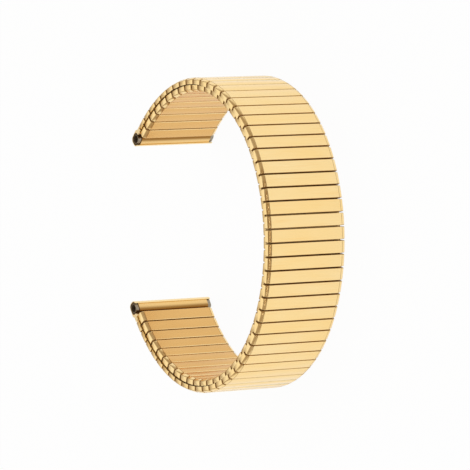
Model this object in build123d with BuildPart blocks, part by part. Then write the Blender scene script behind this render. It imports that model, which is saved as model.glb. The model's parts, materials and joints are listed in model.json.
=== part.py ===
from build123d import *
import math
import os

os.makedirs("parts", exist_ok=True)

# Expansion watch band, lying on its edge: X runs from the open side to the closed side,
# Y runs from end b to end a, and Z is the width of the band.
# Each piece is drawn in its own link frame: X along the band, Y outwards, Z over the width,
# with the middle of the gap between the two rows at Y = 0.

# Driving sizes of the two rows of links
band_width = 18.0
inner_setback = 0.35
pitch = 2.655
row_gap = 0.15
outer_row_height = 1.3
inner_row_height = 1.35
outer_link_gap = 0.195
inner_link_gap = 0.315
sheet_wall = 0.15
end_wall = 0.2
shoulder_run = 0.8
shoulder_rise = 0.36
shoulder_radius = 0.3
edge_radius = 0.2

# Turning of the band, in degrees per link, at stations along its length
turn_station_shares = (0.0, 0.19, 0.49, 0.80, 1.0)
turn_degrees = (3.92, 6.22, 4.37, 6.05, 4.57)

# Sections of links, counted from end a to end b
section_count = 9
links_per_section = 6

# Connecting clips, bent from flat strip
clip_thickness = 0.25
clip_leg_height = 0.28
clip_leg_length = 3.5
clip_web = 0.3
clip_bend_radius = 0.12
clip_end_gap = 0.05
clip_wall_gap = 0.075
clip_offset = 0.79
slot_side_gap = 0.09

# Leaf springs
spring_thickness = 0.1
spring_width = 1.6
spring_gap = 0.05

# End pieces, with the bore for the spring bar
bore_radius = 0.78
bore_along = 1.45
insert_along = 2.1
insert_height = 1.8
insert_corner_radius = 0.6
insert_gap = 0.03
insert_middle_gap = 0.8
sleeve_setback = 0.8
sleeve_wall = 0.15
cover_wall = 0.15
cover_gap = 0.02
cover_lip = 0.85

# Worked out sizes
half_pitch = pitch / 2
inner_link_width = band_width - 2 * inner_setback
outer_link_length = pitch - outer_link_gap
inner_link_length = pitch - inner_link_gap
inner_count = section_count * links_per_section
half_step_count = 2 * inner_count
middle_step = half_step_count // 2
middle_section = section_count // 2
row_base = row_gap / 2
outer_top = row_base + outer_row_height
inner_top = row_base + inner_row_height
hollow_base = row_base + sheet_wall
hollow_radius = shoulder_radius - sheet_wall
leg_base = hollow_base + clip_wall_gap
leg_top = leg_base + clip_leg_height
clip_face = inner_link_width / 2 - end_wall - clip_end_gap
clip_web_base = clip_face - clip_web
upper_leg_at = half_pitch - clip_offset
sleeve_width = band_width - 2 * sleeve_setback
sleeve_along = insert_along + 2 * (insert_gap + sleeve_wall)
sleeve_height = insert_height + 2 * (insert_gap + sleeve_wall)
cover_along = sleeve_along + 2 * (cover_gap + cover_wall)
cover_height = sleeve_height + 2 * (cover_gap + cover_wall)
channel_radius = insert_corner_radius + insert_gap
sleeve_radius = channel_radius + sleeve_wall
cover_inner_radius = sleeve_radius + cover_gap
cover_radius = cover_inner_radius + cover_wall
roll_middle = outer_top - cover_height / 2


def turn_at(step):
    """Turning, in degrees, over one half pitch step, counted from end a."""
    share = step / half_step_count
    low = 0
    while share > turn_station_shares[low + 1]:
        low += 1
    span = turn_station_shares[low + 1] - turn_station_shares[low]
    blend = (1 - math.cos(math.pi * (share - turn_station_shares[low]) / span)) / 2
    return (turn_degrees[low] * (1 - blend) + turn_degrees[low + 1] * blend) / 2


def walk(direction):
    """Places of the links from the middle of the band outwards: x, y and heading in degrees."""
    x, y, heading = 0.0, 0.0, 0.0
    places = [(x, y, heading)]
    for count in range(middle_step):
        turn = turn_at(middle_step + direction * (count + 0.5))
        mid_heading = math.radians(heading + direction * turn / 2)
        x -= direction * half_pitch * math.sin(mid_heading)
        y -= direction * half_pitch * math.cos(mid_heading)
        heading += direction * turn
        places.append((x, y, heading))
    return places


raw_places = walk(-1)[:0:-1] + walk(1)


def point_at(place, along, outwards):
    """A point of a link frame in the plane of the band."""
    x, y, heading = place
    angle = math.radians(heading)
    return (
        x - along * math.sin(angle) + outwards * math.cos(angle),
        y - along * math.cos(angle) - outwards * math.sin(angle),
    )


def outline_points():
    """Corners of the band's outline in its own plane, before it is moved over the origin."""
    points = []
    for place in raw_places[1:-1]:
        for along in (-outer_link_length / 2, outer_link_length / 2):
            points.append(point_at(place, along, outer_top))
    for place, side in ((raw_places[0], -1), (raw_places[-1], 1)):
        arc_along = bore_along + cover_along / 2 - cover_radius
        x, y = point_at(place, side * arc_along, outer_top - cover_radius)
        points.append((x - cover_radius, y))
    return points


# The band is moved so that the middle of its outline lies over the origin
outline_x = [point[0] for point in outline_points()]
outline_y = [point[1] for point in outline_points()]
x_shift = -(max(outline_x) + min(outline_x)) / 2
y_shift = -(max(outline_y) + min(outline_y)) / 2


def frame_at(step, side=1):
    """The link frame at one half pitch step; side -1 looks back along the band."""
    x, y, heading = raw_places[step]
    angle = math.radians(heading)
    return Plane(
        origin=(x + x_shift, y + y_shift, band_width / 2),
        x_dir=(-side * math.sin(angle), -side * math.cos(angle), 0),
        z_dir=(0, 0, side),
    )


def outer_frame(link):
    """Frame of an outer link; the outer row lies on the even steps."""
    return frame_at(2 * link)


def inner_frame(link):
    """Frame of inner link 1 to inner_count; the inner row lies on the odd steps."""
    return frame_at(2 * link - 1)


def side_face(start, base, top, half_width, corner_radius):
    """A link seen from its long side: its outer face falls away in a rounded shoulder at each end."""
    with BuildSketch(Plane.YZ.offset(start)) as face:
        with BuildLine():
            Polyline(
                (base, -half_width),
                (base, half_width),
                (top - shoulder_rise, half_width),
                (top, half_width - shoulder_run),
                (top, -half_width + shoulder_run),
                (top - shoulder_rise, -half_width),
                close=True,
            )
        make_face()
        ends = face.vertices().group_by(Axis.Y)
        fillet([ends[0].sort_by(Axis.X)[-1], ends[-1].sort_by(Axis.X)[-1]], corner_radius)
    return face.sketch


def link_case(length, width, top, leg_at):
    """A closed sheet metal link with slots for the clips in the face at its base."""
    hollow_length = length - 2 * sheet_wall
    hollow_half_width = width / 2 - end_wall
    slot_start = leg_at - clip_thickness / 2 - slot_side_gap
    slot_length = hollow_length / 2 - slot_start
    with BuildPart() as case:
        extrude(side_face(-length / 2, row_base, top, width / 2, shoulder_radius), amount=length)
        fillet(case.faces().sort_by(Axis.Y)[-1].edges().filter_by(Axis.Z), edge_radius)
        extrude(
            side_face(-hollow_length / 2, hollow_base, top - sheet_wall, hollow_half_width, hollow_radius),
            amount=hollow_length,
            mode=Mode.SUBTRACT,
        )
        with BuildSketch(Plane.XZ.offset(-hollow_base)):
            with GridLocations(2 * slot_start + slot_length, 2 * clip_face - clip_web, 2, 2):
                Rectangle(slot_length, clip_web + 2 * clip_end_gap)
        extrude(amount=sheet_wall, mode=Mode.SUBTRACT)
    return case.part


outer_case = link_case(outer_link_length, band_width, outer_top, upper_leg_at)
inner_case = link_case(inner_link_length, inner_link_width, inner_top, clip_offset)

# One connecting clip of the edge at +Z, with its web in the plane X = 0
with BuildPart() as edge_clip:
    with BuildSketch(Plane.YZ.offset(-clip_thickness / 2)) as clip_outline:
        with BuildLine():
            Polyline(
                (-leg_top, clip_face),
                (leg_top, clip_face),
                (leg_top, clip_web_base - clip_leg_length),
                (leg_base, clip_web_base - clip_leg_length),
                (leg_base, clip_web_base),
                (-leg_base, clip_web_base),
                (-leg_base, clip_web_base - clip_leg_length),
                (-leg_top, clip_web_base - clip_leg_length),
                close=True,
            )
        make_face()
        fillet(clip_outline.vertices().group_by(Axis.Y)[-1], clip_bend_radius)
    extrude(amount=clip_thickness)

# The clip of the other edge is its mirror image
with BuildPart() as clip_pair:
    add(edge_clip.part)
    mirror(about=Plane.XY)

# A leaf spring ends just short of the clip webs, on top of the clip legs
spring_end = clip_web_base - spring_gap
spring_low = leg_top + spring_gap


def leaf_spring(top):
    """A bowed strip that lies on the clip legs and touches the far wall of its link at its middle."""
    spring_high = top - sheet_wall - spring_gap - spring_thickness
    with BuildPart() as spring:
        with BuildSketch(Plane.YZ.offset(-spring_width / 2)):
            with BuildLine():
                low_bow = ThreePointArc((spring_low, -spring_end), (spring_high, 0), (spring_low, spring_end))
                high_bow = ThreePointArc(
                    (spring_low + spring_thickness, spring_end),
                    (spring_high + spring_thickness, 0),
                    (spring_low + spring_thickness, -spring_end),
                )
                Line(low_bow @ 1, high_bow @ 0)
                Line(high_bow @ 1, low_bow @ 0)
            make_face()
        extrude(amount=spring_width)
    return spring.part


def facing_in(piece):
    """The same piece for the inner row, with its base towards the outer row."""
    return mirror(piece, about=Plane.XZ)


def save(part, name):
    part.label = name
    export_step(part, "parts/" + name + ".step")


def save_group(name, kinds):
    """One node of like pieces: each entry is a piece and the frames that it is placed in."""
    with BuildPart() as group:
        for piece, frames in kinds:
            if frames:
                with Locations(*[frame.location for frame in frames]):
                    add(piece, clean=False)
    save(group.part, name)


def inner_places(section):
    """Numbers of the inner links of a section."""
    first = section * links_per_section + 1
    return range(first, first + links_per_section)


def outer_places(section):
    """Numbers of the outer links of a section; the end covers stand at 0 and inner_count."""
    first = section * links_per_section + (1 if section > middle_section else 0)
    last = first + links_per_section - (0 if section == middle_section else 1)
    return range(max(first, 1), min(last, inner_count - 1) + 1)


def junction_mouth(junction):
    """The inner link, and its side, whose clips join two neighbouring bodies."""
    if junction == 0:
        return (1, -1)
    if junction == section_count:
        return (inner_count, 1)
    if junction <= middle_section:
        return (junction * links_per_section, 1)
    return (junction * links_per_section + 1, -1)


junction_mouths = [junction_mouth(junction) for junction in range(section_count + 1)]


def mouth_frame(link, side):
    """Where a pair of clips stands: near the end wall of an inner link."""
    plane = inner_frame(link)
    return Plane(
        origin=plane.from_local_coords((side * clip_offset, 0, 0)),
        x_dir=plane.x_dir,
        z_dir=plane.z_dir,
    )


inner_shell = facing_in(inner_case)
outer_spring = leaf_spring(outer_top)
inner_spring = facing_in(leaf_spring(inner_top))
for section in range(section_count):
    number = str(section + 1)
    outer_frames = [outer_frame(link) for link in outer_places(section)]
    inner_frames = [inner_frame(link) for link in inner_places(section)]
    mouths = [(link, side) for link in inner_places(section) for side in (-1, 1)]
    held = [mouth_frame(*mouth) for mouth in mouths if mouth not in junction_mouths]
    save_group("outer_links_" + number, [(outer_case, outer_frames)])
    save_group("inner_links_" + number, [(inner_shell, inner_frames)])
    save_group("leaf_springs_" + number, [(outer_spring, outer_frames), (inner_spring, inner_frames)])
    save_group("clips_" + number, [(clip_pair.part, held)])

for junction, mouth in enumerate(junction_mouths):
    save_group("joining_clips_" + str(junction + 1), [(clip_pair.part, [mouth_frame(*mouth)])])

# End cover: a link case whose outer face runs on and is rolled around the tip
case_start = -outer_link_length / 2
case_length = bore_along - cover_along / 2 + cover_wall - case_start
case_hollow_start = case_start + sheet_wall
case_slot_end = -upper_leg_at + clip_thickness / 2 + slot_side_gap
case_slot_length = case_slot_end - case_hollow_start

with BuildPart() as end_cover:
    extrude(side_face(case_start, row_base, outer_top, band_width / 2, shoulder_radius), amount=case_length)
    extrude(
        side_face(
            case_hollow_start,
            hollow_base,
            outer_top - sheet_wall,
            band_width / 2 - end_wall,
            hollow_radius,
        ),
        amount=case_length - 2 * sheet_wall,
        mode=Mode.SUBTRACT,
    )
    with BuildSketch(Plane.XZ.offset(-hollow_base)):
        with Locations((case_hollow_start + case_slot_length / 2, 0)):
            with GridLocations(0, 2 * clip_face - clip_web, 1, 2):
                Rectangle(case_slot_length, clip_web + 2 * clip_end_gap)
    extrude(amount=sheet_wall, mode=Mode.SUBTRACT)
    with BuildSketch(Plane.XY.offset(-band_width / 2)):
        with Locations((bore_along, roll_middle)):
            RectangleRounded(cover_along, cover_height, cover_radius)
            Rectangle(cover_along / 2, cover_height / 2, align=(Align.MAX, Align.MIN))
            RectangleRounded(
                cover_along - 2 * cover_wall,
                cover_height - 2 * cover_wall,
                cover_inner_radius,
                mode=Mode.SUBTRACT,
            )
        with Locations((bore_along + cover_along / 2 - cover_lip, row_base)):
            Rectangle(cover_along, cover_height, align=Align.MAX, mode=Mode.SUBTRACT)
    extrude(amount=band_width)

# End sleeve: a narrower box tube under the cover, which guides the two inserts
with BuildPart() as end_sleeve:
    with BuildSketch(Plane.XY.offset(-sleeve_width / 2)):
        with Locations((bore_along, roll_middle)):
            RectangleRounded(sleeve_along, sleeve_height, sleeve_radius)
            RectangleRounded(
                sleeve_along - 2 * sleeve_wall,
                sleeve_height - 2 * sleeve_wall,
                channel_radius,
                mode=Mode.SUBTRACT,
            )
    extrude(amount=sleeve_width)

# Tube insert: it slides out of one end of the sleeve and takes the end of the spring bar
insert_length = (band_width - insert_middle_gap) / 2
with BuildPart() as upper_insert:
    with BuildSketch(Plane.XY.offset(insert_middle_gap / 2)):
        with Locations((bore_along, roll_middle)):
            RectangleRounded(insert_along, insert_height, insert_corner_radius)
            Circle(bore_radius, mode=Mode.SUBTRACT)
    extrude(amount=insert_length)

with BuildPart() as lower_insert:
    add(upper_insert.part)
    mirror(about=Plane.XY, mode=Mode.REPLACE)

end_a = frame_at(0, -1)
end_b = frame_at(half_step_count, 1)
for name, frame in (("a", end_a), ("b", end_b)):
    save_group("end_cover_" + name, [(end_cover.part, [frame])])
    save_group("end_sleeve_" + name, [(end_sleeve.part, [frame])])

# The frame of end a is turned over, so its own upper insert is the lower one of the band
save_group("tube_insert_a_top", [(lower_insert.part, [end_a])])
save_group("tube_insert_a_bottom", [(upper_insert.part, [end_a])])
save_group("tube_insert_b_top", [(upper_insert.part, [end_b])])
save_group("tube_insert_b_bottom", [(lower_insert.part, [end_b])])
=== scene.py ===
import json
import math

import bmesh
import bpy
from bpy.props import FloatProperty, FloatVectorProperty, IntProperty, PointerProperty
from mathutils import Matrix, Vector, noise

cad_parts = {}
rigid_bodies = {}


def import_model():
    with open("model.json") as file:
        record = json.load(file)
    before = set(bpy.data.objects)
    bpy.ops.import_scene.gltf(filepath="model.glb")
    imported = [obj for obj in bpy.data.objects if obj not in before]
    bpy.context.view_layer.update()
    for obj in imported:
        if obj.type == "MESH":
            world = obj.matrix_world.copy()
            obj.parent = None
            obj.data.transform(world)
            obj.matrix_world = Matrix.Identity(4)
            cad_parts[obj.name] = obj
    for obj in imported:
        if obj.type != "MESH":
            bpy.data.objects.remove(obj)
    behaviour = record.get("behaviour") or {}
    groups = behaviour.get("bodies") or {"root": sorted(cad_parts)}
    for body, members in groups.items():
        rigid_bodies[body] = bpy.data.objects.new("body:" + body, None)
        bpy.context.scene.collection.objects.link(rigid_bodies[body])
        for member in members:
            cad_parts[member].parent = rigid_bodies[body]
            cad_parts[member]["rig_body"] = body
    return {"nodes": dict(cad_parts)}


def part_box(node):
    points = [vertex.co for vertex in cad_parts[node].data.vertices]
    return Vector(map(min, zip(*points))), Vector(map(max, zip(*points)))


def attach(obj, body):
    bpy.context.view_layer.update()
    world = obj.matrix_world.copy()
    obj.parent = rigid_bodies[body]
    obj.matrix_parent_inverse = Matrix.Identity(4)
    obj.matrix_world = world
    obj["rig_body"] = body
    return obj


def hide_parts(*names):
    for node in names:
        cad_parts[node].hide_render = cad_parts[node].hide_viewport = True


bl_info = {
    "name": "Expansion watch band",
    "version": (1, 1, 0),
    "blender": (4, 5, 0),
    "location": "3D View > Sidebar > Band",
    "description": "Gold tone expansion watch band with its links, clips, springs and end pieces",
    "category": "Object",
}

MM = 0.001
WHITE = (1.0, 1.0, 1.0, 1.0)

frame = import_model()
SECTION_COUNT = sum(1 for name in frame["nodes"] if name.startswith("outer_links_"))
MIDDLE_SECTION = SECTION_COUNT // 2


def length_property(name, description, default):
    """A size of the band, shown in the units of the scene."""
    return FloatProperty(
        name=name, description=description, default=default, min=0.0, precision=5, unit="LENGTH"
    )


def colour_property(name, description, default):
    """A colour of a finish."""
    return FloatVectorProperty(
        name=name, description=description, default=default, size=3, min=0.0, max=1.0, subtype="COLOR"
    )


class BandSizes(bpy.types.PropertyGroup):
    """Sizes of the links and of the end pieces"""

    band_width: length_property("Band width", "Length of an outer link, edge to edge", 18.0 * MM)
    inner_setback: length_property("Inner setback", "From the band's edge to an inner link's end", 0.35 * MM)
    pitch: length_property("Pitch", "Distance between two links of one row", 2.655 * MM)
    row_gap: length_property("Row gap", "Gap between the two rows of links", 0.15 * MM)
    outer_row_height: length_property("Outer row height", "Height of the outer row of links", 1.3 * MM)
    inner_row_height: length_property("Inner row height", "Height of the inner row of links", 1.35 * MM)
    outer_link_gap: length_property("Outer link gap", "Between outer links of a straight band", 0.195 * MM)
    inner_link_gap: length_property("Inner link gap", "Between inner links of a straight band", 0.315 * MM)
    sheet_wall: length_property("Sheet wall", "Thickness of the folded sheet of a link", 0.15 * MM)
    shoulder_run: length_property("Shoulder run", "How far the sloping end of a link runs in", 0.8 * MM)
    shoulder_rise: length_property("Shoulder rise", "How far the sloping end of a link drops", 0.36 * MM)
    shoulder_radius: length_property("Shoulder radius", "Bend between a link's face and its slope", 0.3 * MM)
    fold_radius: length_property("Fold radius", "Rounding of the folded edges of the outer face", 0.2 * MM)
    clip_thickness: length_property("Clip thickness", "Thickness of the strip of a clip", 0.25 * MM)
    clip_web: length_property("Clip web", "Depth of the bend of a clip over the width", 0.3 * MM)
    clip_setback: length_property("Clip setback", "From the end of an inner link to the clip", 0.25 * MM)
    clip_offset: length_property("Clip offset", "From the middle of an inner link to its clips", 0.79 * MM)
    slot_gap: length_property("Slot gap", "Room beside a clip in its slot", 0.09 * MM)
    slot_end_gap: length_property("Slot end gap", "Room past the ends of a clip in its slot", 0.05 * MM)


class BandTurning(bpy.types.PropertyGroup):
    """How the band curves from end a to end b"""

    station_shares: FloatVectorProperty(
        name="Stations", description="Places along the band, as shares of its length", size=5,
        default=(0.0, 0.19, 0.49, 0.80, 1.0),
    )
    degrees: FloatVectorProperty(
        name="Turning", description="Degrees that the band turns per link at each station", size=5,
        default=(3.92, 6.22, 4.37, 6.05, 4.57),
    )
    link_count: IntProperty(
        name="Inner links", description="Number of links in the inner row", default=54, min=2
    )


class BandFinish(bpy.types.PropertyGroup):
    """Colours and finish of the metals"""

    gold: colour_property("Gold", "Plated gold of the links", (1.0, 0.705, 0.29))
    # Pale gold serves both the paler links, a real tone, and the painted highlight of the folded edges and
    # the end covers.
    gold_pale: colour_property("Pale gold", "Gold on the worn edges and the paler links", (1.0, 0.80, 0.45))
    gold_deep: colour_property("Deep gold", "Gold in the brush marks", (0.98, 0.62, 0.21))
    # Painted shade: a deeper gold that the wrist side and the sleeves take in place of their darker
    # reflection.
    gold_wrist_shade: colour_property("Wrist side gold", "Satin gold of the wrist side", (0.79, 0.46, 0.155))
    # Painted shade: the colour that the gaps between links, the corners and bends of their ends and the
    # sleeve's crease are darkened to.
    gap_shade_colour: colour_property("Tarnish", "Walls of the narrow gaps between links", (0.24, 0.085, 0.0))
    steel: colour_property("Steel", "Stainless steel of the tube inserts", (0.44, 0.38, 0.29))
    # Painted shade: the colour that the inserts' end faces and bores are darkened to.
    steel_shade_colour: colour_property("Cut steel", "Dull cut ends and bores of the tube inserts", (0.14, 0.10, 0.06))
    spring_steel: colour_property("Spring steel", "Steel of the clips and leaf springs", (0.30, 0.24, 0.16))
    roughness: FloatProperty(
        name="Roughness", description="Of the gold faces", default=0.2, min=0.0, max=1.0
    )


class BandStudio(bpy.types.PropertyGroup):
    """Camera and light"""

    camera_distance: length_property("Camera distance", "To the middle of the band", 809.0 * MM)
    focal_pixels: FloatProperty(
        name="Focal length in pixels", description="Of the photograph's frame", default=4117.0, min=1.0
    )
    tent_strength: FloatProperty(
        name="Tent", description="Strength of the white light tent", default=1.02, min=0.0
    )
    opening_colour: colour_property("Opening", "Brown drape in the tent's front opening", (0.25, 0.16, 0.075))
    lamp_power: FloatProperty(
        name="Lamp power", description="Of the strip lamp", default=0.05, min=0.0, unit="POWER"
    )


class Value:
    """A number socket that can be used in sums; each sum adds its Math node."""

    def __init__(self, graph, socket):
        self.graph = graph
        self.socket = socket

    def _math(self, operation, first, second):
        node = self.graph.node("ShaderNodeMath", {"operation": operation}, {0: first, 1: second})
        return Value(self.graph, node.outputs[0])

    def __add__(self, other):
        return self._math("ADD", self, other)

    def __radd__(self, other):
        return self._math("ADD", other, self)

    def __sub__(self, other):
        return self._math("SUBTRACT", self, other)

    def __rsub__(self, other):
        return self._math("SUBTRACT", other, self)

    def __mul__(self, other):
        return self._math("MULTIPLY", self, other)

    def __rmul__(self, other):
        return self._math("MULTIPLY", other, self)


class Graph:
    """The node tree of one material or of the world."""

    def __init__(self, owner):
        owner.use_nodes = True
        self.tree = owner.node_tree
        self.tree.nodes.clear()

    def node(self, kind, settings=None, sockets=None):
        """Adds a node: its settings first, then the values or links of its sockets."""
        made = self.tree.nodes.new(kind)
        for name, value in (settings or {}).items():
            setattr(made, name, value)
        for key, value in (sockets or {}).items():
            socket = made.inputs[key]
            if isinstance(value, Value):
                value = value.socket
            if isinstance(value, bpy.types.NodeSocket):
                self.tree.links.new(value, socket)
            else:
                socket.default_value = value
        return made

    def value(self, kind, settings=None, sockets=None, output=0):
        """A node's output as a number that can be used in sums."""
        return Value(self, self.node(kind, settings, sockets).outputs[output])

    def attribute(self, name):
        """A number that the mesh carries."""
        return self.value("ShaderNodeAttribute", {"attribute_name": name}, None, output="Fac")

    def smooth_step(self, value, low, high):
        """0 below low, 1 above high and a smooth rise between them."""
        settings = {"interpolation_type": "SMOOTHSTEP"}
        sockets = {"Value": value, "From Min": low, "From Max": high}
        return self.value("ShaderNodeMapRange", settings, sockets)

    def mix(self, factor, first, second):
        """A blend of two colours."""
        sockets = {"Factor": factor, "A": first, "B": second}
        return self.node("ShaderNodeMix", {"data_type": "RGBA"}, sockets).outputs["Result"]


def rgba(colour):
    """A colour property as the four numbers of a socket."""
    return (*colour, 1.0)


def stretched_noise(graph, scale, detail=2.0, roughness=0.5):
    """Noise in the band's own frame, stretched by the three numbers of scale, in cycles per metre."""
    place = graph.node("ShaderNodeTexCoord").outputs["Object"]
    coords = graph.node("ShaderNodeMapping", None, {"Vector": place, "Scale": scale}).outputs["Vector"]
    sockets = {"Vector": coords, "Scale": 1.0, "Detail": detail, "Roughness": roughness}
    return graph.value("ShaderNodeTexNoise", None, sockets, output="Fac")


def metal_shader(graph, colour, roughness, height, depth, metallic=1.0):
    """Ends a metal: its colour, its gloss and the relief of its surface."""
    bump = graph.node("ShaderNodeBump", None, {"Strength": 0.35, "Distance": depth, "Height": height})
    sockets = {
        "Base Color": colour,
        "Metallic": metallic,
        "Roughness": roughness,
        "Specular IOR Level": 0.1,
        "Normal": bump.outputs["Normal"],
    }
    shader = graph.node("ShaderNodeBsdfPrincipled", None, sockets)
    graph.node("ShaderNodeOutputMaterial", None, {"Surface": shader.outputs["BSDF"]})


def finish_material(name, graph_builder):
    """A material whose nodes are made by the builder, once."""
    material = bpy.data.materials.get(name)
    if material is None:
        material = bpy.data.materials.new(name)
        graph_builder(Graph(material))
    return material


STREAKS_PER_METRE = (5200.0, 5200.0, 110.0)
CLOUDS_PER_METRE = (210.0, 210.0, 90.0)
DRAWING_MARKS_PER_METRE = (2500.0, 2500.0, 500.0)
GRAINS_PER_METRE = (4000.0, 4000.0, 800.0)
GOLD_RELIEF = 0.002 * MM
TUBE_RELIEF = 0.003 * MM
STRIP_RELIEF = 0.002 * MM
MARK_SHADE = 0.6


def brushed_gold(graph):
    """Gold plate brushed along the width of the band, with painted highlights on its folds, painted shade in
    its gaps, bends and the sleeve's crease, and a deeper gold painted as shade on the wrist side.
    """
    finish = bpy.context.scene.band_finish
    streaks = stretched_noise(graph, STREAKS_PER_METRE, detail=3.0, roughness=0.6)
    clouds = stretched_noise(graph, CLOUDS_PER_METRE)
    tone = graph.attribute("link_tone")
    wrist = graph.attribute("wrist_side")
    shade = graph.attribute("gap_shade")
    paleness = clouds * 0.9 + tone * 0.35 - 0.25
    brush_marks = graph.smooth_step(streaks, 0.5, 0.8) * 0.6
    # Painted highlight: the rounded folds of the outer faces and the whole end covers are paler gold.
    highlight = graph.attribute("edge_highlight") * 0.7
    # Painted shade: the wrist side, and the sleeves by half, are deeper gold for their darker reflection.
    wrist_shade = wrist * (clouds * 0.3 + 0.75)
    # Painted shade: the sleeve darkens towards the first link beside it.
    crease_shade = graph.smooth_step(graph.attribute("sleeve_shade_side"), 0.5, 0.85) * 0.85
    colour = graph.mix(paleness, rgba(finish.gold), rgba(finish.gold_pale))
    colour = graph.mix(brush_marks, colour, rgba(finish.gold_deep))
    colour = graph.mix(highlight, colour, rgba(finish.gold_pale))
    colour = graph.mix(wrist_shade, colour, rgba(finish.gold_wrist_shade))
    # Painted shade: gaps, corners, bends and the sleeve's crease are mixed towards the gap shade colour.
    colour = graph.mix(shade + crease_shade, colour, rgba(finish.gap_shade_colour))
    roughness = streaks * 0.12 + clouds * 0.06 + shade * 0.3 + wrist * 0.06 + (finish.roughness - 0.09)
    metal_shader(graph, colour, roughness, streaks, GOLD_RELIEF, 1 - shade * 0.85)


def drawn_steel(graph):
    """Grey steel with drawing marks along the tube and a fine mottle."""
    finish = bpy.context.scene.band_finish
    marks = stretched_noise(graph, DRAWING_MARKS_PER_METRE, detail=4.0, roughness=0.6)
    # Painted shade: the end faces and bores are darkened and dulled.
    cut = graph.attribute("steel_shade_mask")
    dark = tuple(MARK_SHADE * channel for channel in finish.steel)
    colour = graph.mix(marks, rgba(finish.steel), rgba(dark))
    colour = graph.mix(cut, colour, rgba(finish.steel_shade_colour))
    roughness = marks * 0.2 + cut * 0.3 + 0.25
    metal_shader(graph, colour, roughness, marks, TUBE_RELIEF, 1 - cut * 0.8)


def rolled_steel(graph):
    """Rolled strip of the clips and springs, with a fine grain."""
    finish = bpy.context.scene.band_finish
    grain = stretched_noise(graph, GRAINS_PER_METRE, detail=4.0, roughness=0.6)
    dark = tuple(MARK_SHADE * channel for channel in finish.spring_steel)
    colour = graph.mix(grain, rgba(finish.spring_steel), rgba(dark))
    metal_shader(graph, colour, grain * 0.2 + 0.25, grain, STRIP_RELIEF)


def turn_at(share, turning):
    """Degrees that the band turns per link at a share of its length."""
    stations = turning.station_shares
    low = 0
    while share > stations[low + 1]:
        low += 1
    span = stations[low + 1] - stations[low]
    blend = (1 - math.cos(math.pi * (share - stations[low]) / span)) / 2
    return turning.degrees[low] * (1 - blend) + turning.degrees[low + 1] * blend


def walk(direction, sizes, turning):
    """Places of the links from the middle of the band outwards: x, y and heading in degrees."""
    middle = turning.link_count
    step_length = sizes.pitch / 2
    x, y, heading = 0.0, 0.0, 0.0
    places = [(x, y, heading)]
    for count in range(middle):
        share = (middle + direction * (count + 0.5)) / (2 * middle)
        turn = turn_at(share, turning) / 2
        mid_heading = math.radians(heading + direction * turn / 2)
        x -= direction * step_length * math.sin(mid_heading)
        y -= direction * step_length * math.cos(mid_heading)
        heading += direction * turn
        places.append((x, y, heading))
    return places


def band_middle():
    """The middle link's place, worked back from the clips that join the middle section."""
    sizes = bpy.context.scene.band_sizes
    turning = bpy.context.scene.band_turning
    steps_away = turning.link_count - (2 * MIDDLE_SECTION * turning.link_count // SECTION_COUNT - 1)
    x, y, heading = walk(-1, sizes, turning)[steps_away]
    angle = math.radians(heading)
    clips = Vector((x - sizes.clip_offset * math.sin(angle), y - sizes.clip_offset * math.cos(angle), 0.0))
    low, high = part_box(f"joining_clips_{MIDDLE_SECTION + 1}")
    return (Vector(low) + Vector(high)) / 2 - clips


def link_places():
    """Every half link step from end a to end b."""
    sizes = bpy.context.scene.band_sizes
    turning = bpy.context.scene.band_turning
    places = walk(-1, sizes, turning)[:0:-1] + walk(1, sizes, turning)
    middle = band_middle()
    return [(x + middle.x, y + middle.y, heading) for x, y, heading in places]


def section_of(step):
    """The section of a half link step; an outer link goes with the inner link nearer to the middle."""
    link_count = bpy.context.scene.band_turning.link_count
    if step % 2 == 0:
        step += 1 if step < link_count else -1
    return (step - 1) // 2 // (link_count // SECTION_COUNT) + 1


def link_matrix(place, facing):
    """Puts a link that is drawn along X, with Y outwards, at its place; facing -1 is the inner row."""
    x, y, heading = place
    angle = math.radians(heading)
    along = Vector((-math.sin(angle), -math.cos(angle), 0.0))
    out = Vector((math.cos(angle), -math.sin(angle), 0.0)) * facing
    across = along.cross(out)
    matrix = Matrix((along, out, across)).transposed().to_4x4()
    matrix.translation = Vector((x, y, bpy.context.scene.band_sizes.band_width / 2))
    return matrix


# Points this near to each other are one place, and points this near to a cut lie on it
SAME_PLACE = 0.01 * MM
MERGE_DISTANCE = 0.001 * MM
CUT_DISTANCE = 0.00001 * MM

# A face looks along an axis where its normal has at least this much of it
ALONG_AXIS = 0.9
X = 0
Z = 2


def once(items):
    """Each item once, in the order in which it first comes."""
    return list(dict.fromkeys(items))


def cut_at(bm, faces, places):
    """Cuts the faces by planes; each place is an axis and where it is cut."""
    for axis, where in places:
        normal = Vector((0.0, 0.0, 0.0))
        normal[axis] = 1.0
        kept = [face for face in faces if face.is_valid]
        edges = once(edge for face in kept for edge in face.edges)
        verts = once(vert for face in kept for vert in face.verts)
        cut = bmesh.ops.bisect_plane(
            bm, geom=kept + edges + verts, plane_co=normal * where, plane_no=normal, dist=CUT_DISTANCE
        )
        faces = once(item for item in cut["geom"] if isinstance(item, bmesh.types.BMFace))
    return faces


def round_edges(bm, edges, offset, segments):
    """Rounds edges that sheet is folded over."""
    bmesh.ops.bevel(
        bm, geom=edges, offset=offset, segments=segments, profile=0.5, affect="EDGES", material=-1
    )


FOLD_ANGLE = 0.6


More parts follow.
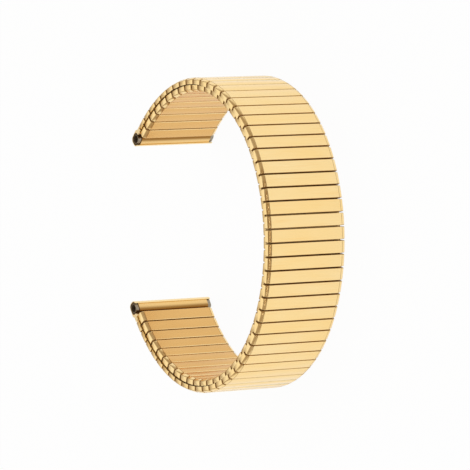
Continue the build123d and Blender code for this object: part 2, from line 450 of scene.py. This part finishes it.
def link_shell(length, width, height, slot_middle, wrist_side):
    """The outer skin of a folded link, with four slots for its clips in the face at its base."""
    sizes = bpy.context.scene.band_sizes
    base = sizes.row_gap / 2
    middle = base + height / 2
    shoulder = width / 2 - sizes.shoulder_run
    slope = math.atan2(sizes.shoulder_rise, sizes.shoulder_run)
    bm = bmesh.new()
    bmesh.ops.create_cube(bm, size=1.0)
    bmesh.ops.scale(bm, vec=(length, height, width), verts=bm.verts)
    bmesh.ops.translate(bm, vec=(0.0, middle, 0.0), verts=bm.verts)
    cut_at(bm, bm.faces[:], [(Z, shoulder), (Z, -shoulder)])
    corners = [v for v in bm.verts if v.co.y > middle and abs(v.co.z) > shoulder + SAME_PLACE]
    bmesh.ops.translate(bm, vec=(0.0, -sizes.shoulder_rise, 0.0), verts=corners)
    top = base + height
    bends = [e for e in bm.edges if all(v.co.y > top - SAME_PLACE for v in e.verts)]
    bends = [e for e in bends if abs(e.verts[0].co.z - e.verts[1].co.z) < SAME_PLACE]
    round_edges(bm, bends, sizes.shoulder_radius * math.tan(slope / 2), segments=2)
    folds = [e for e in bm.edges if any(v.co.y > middle for v in e.verts)]
    folds = [e for e in folds if e.calc_face_angle(0.0) > FOLD_ANGLE]
    round_edges(bm, folds, sizes.fold_radius, segments=3)
    cut_slots(bm, base, length, slot_middle)
    bmesh.ops.recalc_face_normals(bm, faces=bm.faces[:])
    mark_painted_light(bm, base, height, length, width, wrist_side)
    return bm


def cut_slots(bm, base, length, slot_middle):
    """Opens the four slots of a link's base, from beside each clip to the end wall."""
    sizes = bpy.context.scene.band_sizes
    slot_start = slot_middle - sizes.clip_thickness / 2 - sizes.slot_gap
    slot_end = length / 2 - sizes.sheet_wall
    clip_face = sizes.band_width / 2 - sizes.inner_setback - sizes.clip_setback
    across_high = clip_face + sizes.slot_end_gap
    across_low = clip_face - sizes.clip_web - sizes.slot_end_gap
    base_faces = [f for f in bm.faces if abs(f.calc_center_median().y - base) < SAME_PLACE]
    base_faces = [f for f in base_faces if f.normal.y < -ALONG_AXIS]
    lines = ((X, slot_start), (X, slot_end), (Z, across_low), (Z, across_high))
    pieces = cut_at(bm, base_faces, [(axis, sign * where) for axis, where in lines for sign in (-1, 1)])
    open_faces = [
        f for f in pieces
        if slot_start < abs(f.calc_center_median().x) < slot_end
        and across_low < abs(f.calc_center_median().z) < across_high
    ]
    bmesh.ops.delete(bm, geom=open_faces, context="FACES")


# How far a face's normal leans where it belongs to a fold, a corner or a bend
FOLD_SLANT = 0.2
CORNER_SLANT = 0.15
BEND_SLANTS = (0.05, 0.35)
FLAT_ON_WRIST = 0.95

OUTER_STRIP = 0.1 * MM
BASE_SHADE_REACH = 1.5 * MM
BEND_SHADE = 0.5
WALL_FOOT_SHADE = 1.6
CORNER_SHADE_RISE = 1.5
CORNER_SHADE_START = -0.4


def mark_painted_light(bm, base, height, length, width, wrist_side):
    """Notes on each face corner the painted highlight of its folded edges, the painted shade of its depth in
    a gap, its corner or its bend, and whether it lies on the wrist, whose deeper gold is painted shade.
    """
    highlight = bm.loops.layers.float.new("edge_highlight")
    wrist = bm.loops.layers.float.new("wrist_side")
    shade = bm.loops.layers.float.new("gap_shade")
    for face in bm.faces:
        slant = abs(face.normal.x)
        folded = slant > FOLD_SLANT
        corner = folded and abs(face.normal.z) > CORNER_SLANT
        in_gap = slant > ALONG_AXIS or (folded and face.normal.y < FOLD_SLANT)
        bend = face.normal.y > ALONG_AXIS and BEND_SLANTS[0] < abs(face.normal.z) < BEND_SLANTS[1]
        outside = abs(face.calc_center_median().x) > length / 2 - OUTER_STRIP
        # Painted highlight on the rounded folds along the outer face, away from the gaps.
        highlighted = folded and slant < ALONG_AXIS and outside and not (corner or in_gap)
        for loop in face.loops:
            # Painted shade: darker deeper into a gap, at the corners of the ends and in a thin line along
            # each bend.
            depth = 0.0
            if face.normal.y < -ALONG_AXIS:
                depth = (width / 2 - abs(loop.vert.co.z)) / BASE_SHADE_REACH
            elif corner:
                depth = CORNER_SHADE_RISE * slant + CORNER_SHADE_START
            elif bend:
                depth = BEND_SHADE
            elif in_gap:
                depth = WALL_FOOT_SHADE * (1.0 - (loop.vert.co.y - base) / height)
            loop[shade] = min(max(depth, 0.0), 1.0)
            loop[highlight] = 1.0 if highlighted else 0.0
            loop[wrist] = wrist_side if face.normal.y > FLAT_ON_WRIST else 0.0


TONE_STEP = 7.3
ROW_STEP = 3.1


def link_group(name, shell, numbered_places, facing):
    """One piece that holds the like links of a section."""
    mesh = bpy.data.meshes.new(name)
    group = bmesh.new()
    tone = group.verts.layers.float.new("link_tone")
    single = bpy.data.meshes.new("single")
    shell.to_mesh(single)
    for number, place in numbered_places:
        start = len(group.verts)
        group.from_mesh(single)
        group.verts.ensure_lookup_table()
        new_verts = group.verts[start:]
        bmesh.ops.transform(group, matrix=link_matrix(place, facing), verts=new_verts)
        for vert in new_verts:
            vert[tone] = (noise.noise(Vector((number * TONE_STEP, facing * ROW_STEP, 0.5))) + 1) / 2
    bpy.data.meshes.remove(single)
    group.to_mesh(mesh)
    group.free()
    piece = shaded_piece(name, mesh, finish_material("brushed_gold", brushed_gold))
    wall = piece.modifiers.new("sheet_wall", "SOLIDIFY")
    wall.thickness = bpy.context.scene.band_sizes.sheet_wall
    wall.offset = -1.0
    return piece


SHARP_ANGLE = math.radians(32)


def shaded_piece(name, mesh, material):
    """An object of a mesh, smooth but for its folded edges."""
    for polygon in mesh.polygons:
        polygon.use_smooth = True
    mesh.set_sharp_from_angle(angle=SHARP_ANGLE)
    mesh.materials.append(material)
    piece = bpy.data.objects.new(name, mesh)
    bpy.context.scene.collection.objects.link(piece)
    return piece


def stand_for(piece, node):
    """Lets a piece take the place of a node of the frame."""
    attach(piece, frame["nodes"][node]["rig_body"])
    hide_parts(node)


def add_link_groups(row, shell, steps, facing):
    """A piece for each section of one row."""
    places = link_places()
    for section in range(1, SECTION_COUNT + 1):
        node = f"{row}_{section}"
        own = [(step, places[step]) for step in steps if section_of(step) == section]
        stand_for(link_group(f"{node}_case", shell, own, facing), node)
    shell.free()


class BAND_OT_outer_links(bpy.types.Operator):
    """Builds the outer row of links"""

    bl_idname = "band.outer_links"
    bl_label = "Outer links"

    def execute(self, context):
        sizes = context.scene.band_sizes
        length = sizes.pitch - sizes.outer_link_gap
        slot_middle = sizes.pitch / 2 - sizes.clip_offset
        width = sizes.band_width
        shell = link_shell(length, width, sizes.outer_row_height, slot_middle, wrist_side=0.0)
        last = 2 * context.scene.band_turning.link_count
        add_link_groups("outer_links", shell, range(2, last, 2), facing=1)
        return {"FINISHED"}


class BAND_OT_inner_links(bpy.types.Operator):
    """Builds the inner row of links"""

    bl_idname = "band.inner_links"
    bl_label = "Inner links"

    def execute(self, context):
        sizes = context.scene.band_sizes
        length = sizes.pitch - sizes.inner_link_gap
        width = sizes.band_width - 2 * sizes.inner_setback
        shell = link_shell(length, width, sizes.inner_row_height, sizes.clip_offset, wrist_side=1.0)
        last = 2 * context.scene.band_turning.link_count
        add_link_groups("inner_links", shell, range(1, last, 2), facing=-1)
        return {"FINISHED"}


def smooth_copy(node, material, place):
    """The shape of a node of the frame, with its triangles joined and its rounded faces smooth."""
    bm = bmesh.new()
    bm.from_mesh(frame["nodes"][node].data)
    bmesh.ops.remove_doubles(bm, verts=bm.verts, dist=MERGE_DISTANCE)
    flat = math.radians(1)
    bmesh.ops.dissolve_limit(bm, angle_limit=flat, verts=bm.verts, edges=bm.edges)
    if node.startswith("end_sleeve"):
        mark_sleeve(bm, place)
    elif node.startswith("end_cover"):
        # Painted highlight: the whole cover is paler gold.
        mark_faces(bm, "edge_highlight", lambda face: True)
    else:
        low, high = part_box(node)
        middle = (Vector(low) + Vector(high)) / 2
        # Painted shade on the inserts' end faces and in their bores.
        mark_faces(bm, "steel_shade_mask", lambda face: is_cut(face, middle))
    mesh = bpy.data.meshes.new(f"{node}_smooth")
    bm.to_mesh(mesh)
    bm.free()
    return shaded_piece(f"{node}_smooth", mesh, material)


def mark_faces(bm, name, test):
    """Gives the faces that pass the test a 1 under a name, and the others a 0."""
    layer = bm.loops.layers.float.new(name)
    for face in bm.faces:
        for loop in face.loops:
            loop[layer] = 1.0 if test(face) else 0.0


def is_cut(face, middle):
    """Whether a face is a cut end of a tube insert or lies in its bore."""
    outward = face.calc_center_median() - middle
    outward.z = 0.0
    return abs(face.normal.z) > ALONG_AXIS or face.normal.dot(outward) < 0.0


# Painted shade: how much of the wrist side's deeper gold a sleeve takes.
SLEEVE_WRIST_SHADE = 0.5


def mark_sleeve(bm, place):
    """Gives a sleeve part of the wrist side's painted shade, and counts from 0 to 1 towards its side beside
    the first link, which is painted darker as shade.
    """
    heading = math.radians(place[2])
    along = Vector((-math.sin(heading), -math.cos(heading), 0.0))
    if place[1] < band_middle().y:
        along = -along
    reach = [vert.co.dot(along) for vert in bm.verts]
    near, far = min(reach), max(reach)
    crease_shade = bm.loops.layers.float.new("sleeve_shade_side")
    wrist_shade = bm.loops.layers.float.new("wrist_side")
    for face in bm.faces:
        for loop in face.loops:
            loop[wrist_shade] = SLEEVE_WRIST_SHADE
            # Painted shade: this count drives the sleeve's darkening towards the first link.
            loop[crease_shade] = (loop.vert.co.dot(along) - near) / (far - near)


class BAND_OT_end_pieces(bpy.types.Operator):
    """Builds the end covers, the end sleeves and the tube inserts"""

    bl_idname = "band.end_pieces"
    bl_label = "End pieces"

    def execute(self, context):
        places = link_places()
        for node in frame["nodes"]:
            place = places[0] if "_a" in node else places[-1]
            if node.startswith(("end_cover", "end_sleeve")):
                gold = finish_material("brushed_gold", brushed_gold)
                stand_for(smooth_copy(node, gold, place), node)
            elif node.startswith("tube_insert"):
                steel = finish_material("drawn_steel", drawn_steel)
                stand_for(smooth_copy(node, steel, place), node)
        return {"FINISHED"}


class BAND_OT_clips_and_springs(bpy.types.Operator):
    """Gives the clips and the leaf springs their finish"""

    bl_idname = "band.clips_and_springs"
    bl_label = "Clips and springs"

    def execute(self, context):
        for name, node in frame["nodes"].items():
            if name.startswith(("clips", "joining_clips", "leaf_springs")):
                node.data.materials.clear()
                node.data.materials.append(finish_material("rolled_steel", rolled_steel))
        return {"FINISHED"}


class BAND_OT_stage(bpy.types.Operator):
    """Sets the camera, the lamp, the floor and the light tent"""

    bl_idname = "band.stage"
    bl_label = "Stage"

    def execute(self, context):
        studio = context.scene.band_studio
        add_camera(context.scene, studio)
        add_floor()
        add_light_tent(context.scene, studio)
        add_lamp(context.scene, studio)
        context.scene.view_settings.view_transform = "Standard"
        return {"FINISHED"}


PHOTO_SIZE = 470
BAND_MIDDLE_PIXEL = (303.6, 247.9)
CAMERA_RIGHT = Vector((0.5345, 0.0163, -0.8450))
CAMERA_UP = Vector((-0.1025, 0.9937, -0.0456))


def add_camera(scene, studio):
    """The photograph's viewpoint, turned so that the band's middle falls on its pixel."""
    middle = band_middle()
    toward = CAMERA_RIGHT.cross(CAMERA_UP).normalized()
    metres_per_pixel = studio.camera_distance / studio.focal_pixels
    left = (BAND_MIDDLE_PIXEL[0] - PHOTO_SIZE / 2) * metres_per_pixel
    above = (BAND_MIDDLE_PIXEL[1] - PHOTO_SIZE / 2) * metres_per_pixel
    place = middle + toward * studio.camera_distance
    aim = middle - CAMERA_RIGHT * left + CAMERA_UP * above
    back = (place - aim).normalized()
    right = CAMERA_UP.cross(back).normalized()
    up = back.cross(right)
    data = bpy.data.cameras.new("camera")
    data.sensor_width = 36.0
    data.lens = studio.focal_pixels / PHOTO_SIZE * data.sensor_width
    data.clip_start = 0.05
    data.clip_end = 10.0
    camera = bpy.data.objects.new("camera", data)
    camera.matrix_world = Matrix.Translation(place) @ Matrix((right, up, back)).transposed().to_4x4()
    scene.collection.objects.link(camera)
    scene.camera = camera


FLOOR_REACH = 1.5
FLOOR_WHITE = (0.95, 0.95, 0.95, 1.0)
FLOOR_SEEN = 0.95
FLOOR_MIRRORED = 0.9


def add_floor():
    """A white floor that keeps a faint shadow of the band, and shows white in its reflections."""
    bm = bmesh.new()
    bmesh.ops.create_grid(bm, x_segments=1, y_segments=1, size=FLOOR_REACH)
    mesh = bpy.data.meshes.new("floor")
    bm.to_mesh(mesh)
    bm.free()
    floor = bpy.data.objects.new("floor", mesh)
    bpy.context.scene.collection.objects.link(floor)
    material = bpy.data.materials.new("floor_white")
    graph = Graph(material)
    rays = graph.node("ShaderNodeLightPath").outputs
    bounces = Value(graph, rays["Is Glossy Ray"]) + Value(graph, rays["Is Transmission Ray"])
    seen = Value(graph, rays["Is Camera Ray"]) * FLOOR_SEEN
    mirrored = bounces * FLOOR_MIRRORED
    lit = graph.node("ShaderNodeBsdfDiffuse", None, {"Color": FLOOR_WHITE})
    glow = graph.node("ShaderNodeEmission", None, {"Color": WHITE, "Strength": 1.0})
    sockets = {"Fac": seen + mirrored, 1: lit.outputs[0], 2: glow.outputs[0]}
    mixed = graph.node("ShaderNodeMixShader", None, sockets)
    graph.node("ShaderNodeOutputMaterial", None, {"Surface": mixed.outputs[0]})
    mesh.materials.append(material)


# Directions from the band's middle, where heights are those of a sphere of radius 1
TENT_OPENING = Vector((0.961, 0.0, 0.276))
OPENING_EDGES = (0.72, 0.88)
BELT_FOOT = (-0.02, 0.05)
BELT_TOP = (0.26, 0.66)
BELT_SHADE = 0.8


def add_light_tent(scene, studio):
    """White all round, but for the tent's front opening and a belt of drape above the floor's edge."""
    world = bpy.data.worlds.new("light_tent")
    scene.world = world
    graph = Graph(world)
    direction = graph.node("ShaderNodeTexCoord").outputs["Generated"]
    toward_front = graph.value(
        "ShaderNodeVectorMath", {"operation": "DOT_PRODUCT"}, {0: direction, 1: TENT_OPENING}, output="Value"
    )
    height = graph.node("ShaderNodeSeparateXYZ", None, {0: direction}).outputs["Z"]
    above_foot = graph.smooth_step(height, *BELT_FOOT)
    above_top = graph.smooth_step(height, *BELT_TOP)
    belt = above_foot * (1 - above_top) * BELT_SHADE
    opening = graph.smooth_step(toward_front, *OPENING_EDGES)
    colour = graph.mix(belt + opening * (1 - belt), WHITE, rgba(studio.opening_colour))
    sockets = {"Color": colour, "Strength": studio.tent_strength}
    background = graph.node("ShaderNodeBackground", None, sockets)
    graph.node("ShaderNodeOutputWorld", None, {"Surface": background.outputs[0]})


LAMP_PLACE = Vector((0.40, -0.04, 0.135))
LAMP_WIDTH = 0.008
LAMP_HEIGHT = 0.6


def add_lamp(scene, studio):
    """A strip lamp in the tent's opening, which draws a line of light down the sloping ends."""
    data = bpy.data.lights.new("strip_lamp", "AREA")
    data.shape = "RECTANGLE"
    data.size = LAMP_WIDTH
    data.size_y = LAMP_HEIGHT
    data.energy = studio.lamp_power
    lamp = bpy.data.objects.new("strip_lamp", data)
    back = LAMP_PLACE.normalized()
    side = Vector((0.0, 1.0, 0.0)).cross(back).normalized()
    turned = Matrix((side, back.cross(side), back)).transposed().to_4x4()
    lamp.matrix_world = Matrix.Translation(LAMP_PLACE) @ turned
    scene.collection.objects.link(lamp)


class BAND_PT_panel(bpy.types.Panel):
    """Lists the steps that build the band"""

    bl_idname = "BAND_PT_panel"
    bl_label = "Expansion watch band"
    bl_space_type = "VIEW_3D"
    bl_region_type = "UI"
    bl_category = "Band"

    def draw(self, context):
        for step in STEPS:
            self.layout.operator(step.bl_idname)
        for group in GROUPS:
            settings = getattr(context.scene, group)
            for name in settings.__annotations__:
                self.layout.prop(settings, name)


GROUPS = {
    "band_sizes": BandSizes,
    "band_turning": BandTurning,
    "band_finish": BandFinish,
    "band_studio": BandStudio,
}
STEPS = (
    BAND_OT_outer_links,
    BAND_OT_inner_links,
    BAND_OT_end_pieces,
    BAND_OT_clips_and_springs,
    BAND_OT_stage,
)


def register():
    for group in GROUPS.values():
        bpy.utils.register_class(group)
    for name, group in GROUPS.items():
        setattr(bpy.types.Scene, name, PointerProperty(type=group))
    for step in STEPS:
        bpy.utils.register_class(step)
    bpy.utils.register_class(BAND_PT_panel)


def unregister():
    bpy.utils.unregister_class(BAND_PT_panel)
    for step in reversed(STEPS):
        bpy.utils.unregister_class(step)
    for name, group in GROUPS.items():
        delattr(bpy.types.Scene, name)
        bpy.utils.unregister_class(group)


def main():
    """Builds the band on its frame."""
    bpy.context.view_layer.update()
    register()
    bpy.ops.band.outer_links()
    bpy.ops.band.inner_links()
    bpy.ops.band.end_pieces()
    bpy.ops.band.clips_and_springs()
    bpy.ops.band.stage()


if __name__ == "__main__":
    main()
